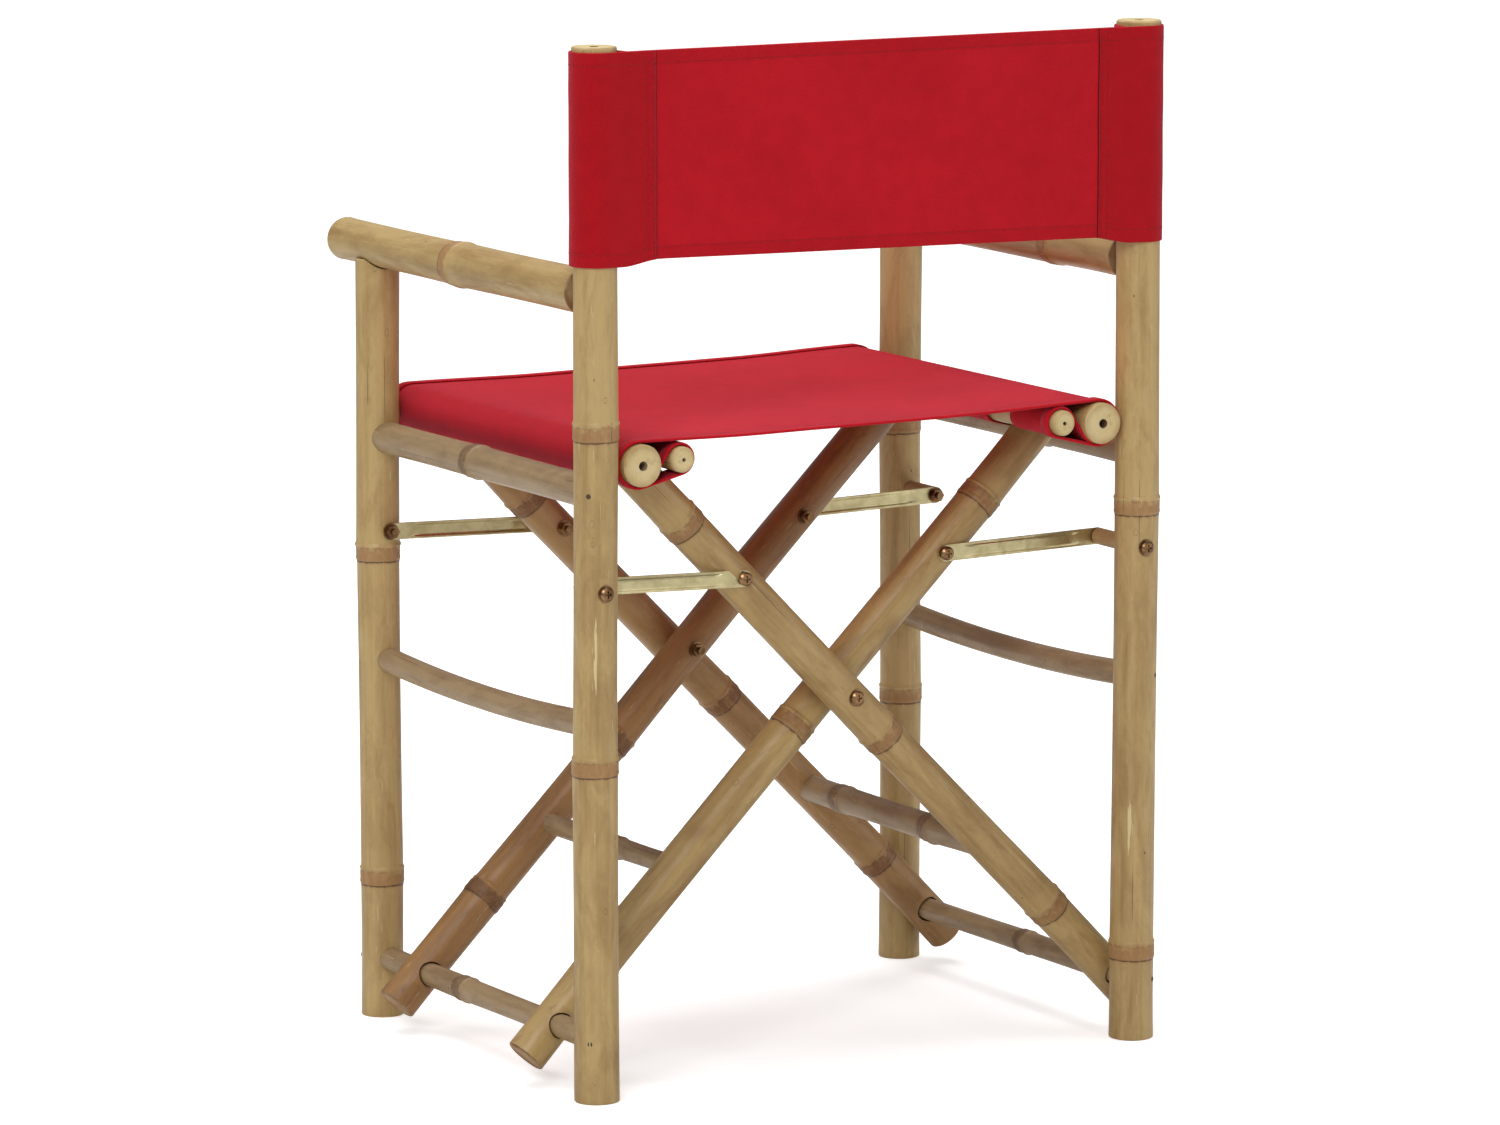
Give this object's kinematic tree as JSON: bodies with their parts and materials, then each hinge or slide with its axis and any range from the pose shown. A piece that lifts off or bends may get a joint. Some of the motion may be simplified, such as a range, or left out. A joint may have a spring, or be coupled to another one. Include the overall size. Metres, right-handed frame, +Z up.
{
  "type": "director chair",
  "caption": "Folding bamboo director chair with armrests, crossed legs, pressed steel links and a cloth sling seat and back.",
  "frame": {"origin": "middle of the open chair's bounding box, on the floor", "axes": "+X to the sitter's left, -Y the way the chair faces, +Z up; the left side frame is the fixed body"},
  "size_m": [0.5798, 0.475, 0.85],
  "materials": {
    "bamboo": "natural bamboo culm, clear satin",
    "bamboo_peg": "bare turned bamboo",
    "canvas": "plain-woven red canvas",
    "link_zinc": "yellow zinc-plated pressed steel",
    "bolt_zinc": "yellow zinc-plated, bright",
    "nail_steel": "dull steel"
  },
  "bodies": {
    "left_frame": {"left_rear_post": "bamboo", "left_front_post": "bamboo", "left_armrest": "bamboo", "left_seat_side_rung": "bamboo", "left_middle_rung": "bamboo", "left_foot_rung": "bamboo", "left_arm_dowels": "bamboo_peg", "left_rung_nails": "nail_steel", "left_post_bolts": "bolt_zinc", "left_post_washers": "bolt_zinc", "left_post_nuts": "bolt_zinc", "back_cover": "canvas"},
    "right_frame": {"right_rear_post": "bamboo", "right_front_post": "bamboo", "right_armrest": "bamboo", "right_seat_side_rung": "bamboo", "right_middle_rung": "bamboo", "right_foot_rung": "bamboo", "right_arm_dowels": "bamboo_peg", "right_rung_nails": "nail_steel", "right_post_bolts": "bolt_zinc", "right_post_washers": "bolt_zinc", "right_post_nuts": "bolt_zinc", "right_rear_link_spacer": "bamboo_peg", "right_front_link_spacer": "bamboo_peg"},
    "outer_legs": {"outer_rear_leg": "bamboo", "outer_front_leg": "bamboo", "outer_leg_rung": "bamboo", "left_seat_rail": "bamboo", "left_slip_rod": "bamboo", "outer_rail_screws": "nail_steel", "outer_link_bolt_shanks": "bolt_zinc", "outer_link_washers": "bolt_zinc", "outer_link_nuts": "bolt_zinc"},
    "inner_legs": {"inner_rear_leg": "bamboo", "inner_front_leg": "bamboo", "inner_leg_rung": "bamboo", "right_seat_rail": "bamboo", "right_slip_rod": "bamboo", "inner_rail_screws": "nail_steel", "inner_link_bolt_shanks": "bolt_zinc", "inner_link_washers": "bolt_zinc", "inner_link_nuts": "bolt_zinc", "crossing_bolts": "bolt_zinc", "crossing_washers": "bolt_zinc", "crossing_nuts": "bolt_zinc", "seat_cover": "canvas"},
    "left_rear_link_arm": {"left_rear_link": "link_zinc", "left_rear_link_bolt": "bolt_zinc"},
    "left_front_link_arm": {"left_front_link": "link_zinc", "left_front_link_bolt": "bolt_zinc"},
    "right_rear_link_arm": {"right_rear_link": "link_zinc", "right_rear_link_bolt": "bolt_zinc"},
    "right_front_link_arm": {"right_front_link": "link_zinc", "right_front_link_bolt": "bolt_zinc"}
  },
  "joints": [
    {"name": "fold", "type": "hinge", "parent": "left_frame", "child": "inner_legs", "pos_m": [0.2525, 0.0225, 0.05], "axis": [0, 1, 0], "range_deg": [0, 30.72], "deforming": ["seat_cover", "back_cover"]},
    {"name": "crossing", "type": "hinge", "parent": "inner_legs", "child": "outer_legs", "pos_m": [0, 0.0225, 0.305], "axis": [0, 1, 0], "range_deg": [-67.46, 0]},
    {"name": "right_foot", "type": "hinge", "parent": "outer_legs", "child": "right_frame", "pos_m": [-0.2525, 0.0225, 0.05], "axis": [0, 1, 0], "range_deg": [0, 30.74]},
    {"name": "left_rear_link_pivot", "type": "hinge", "parent": "left_frame", "child": "left_rear_link_arm", "pos_m": [0.2525, 0.0225, 0.41535], "axis": [0, 1, 0], "range_deg": [0, 64.84]},
    {"name": "left_front_link_pivot", "type": "hinge", "parent": "left_frame", "child": "left_front_link_arm", "pos_m": [0.2525, 0.0225, 0.41535], "axis": [0, 1, 0], "range_deg": [0, 64.84]},
    {"name": "right_rear_link_pivot", "type": "hinge", "parent": "right_frame", "child": "right_rear_link_arm", "pos_m": [-0.2525, 0.0225, 0.41535], "axis": [0, 1, 0], "range_deg": [-64.84, 0]},
    {"name": "right_front_link_pivot", "type": "hinge", "parent": "right_frame", "child": "right_front_link_arm", "pos_m": [-0.2525, 0.0225, 0.41535], "axis": [0, 1, 0], "range_deg": [-64.84, 0]}
  ],
  "couplings": [
    {"joint": "crossing", "follows": "fold", "ratio": -2.1953},
    {"joint": "right_foot", "follows": "fold", "ratio": 1},
    {"joint": "left_rear_link_pivot", "follows": "fold", "ratio": 2.1101},
    {"joint": "left_front_link_pivot", "follows": "fold", "ratio": 2.1101},
    {"joint": "right_rear_link_pivot", "follows": "fold", "ratio": -2.1101},
    {"joint": "right_front_link_pivot", "follows": "fold", "ratio": -2.1101}
  ]
}
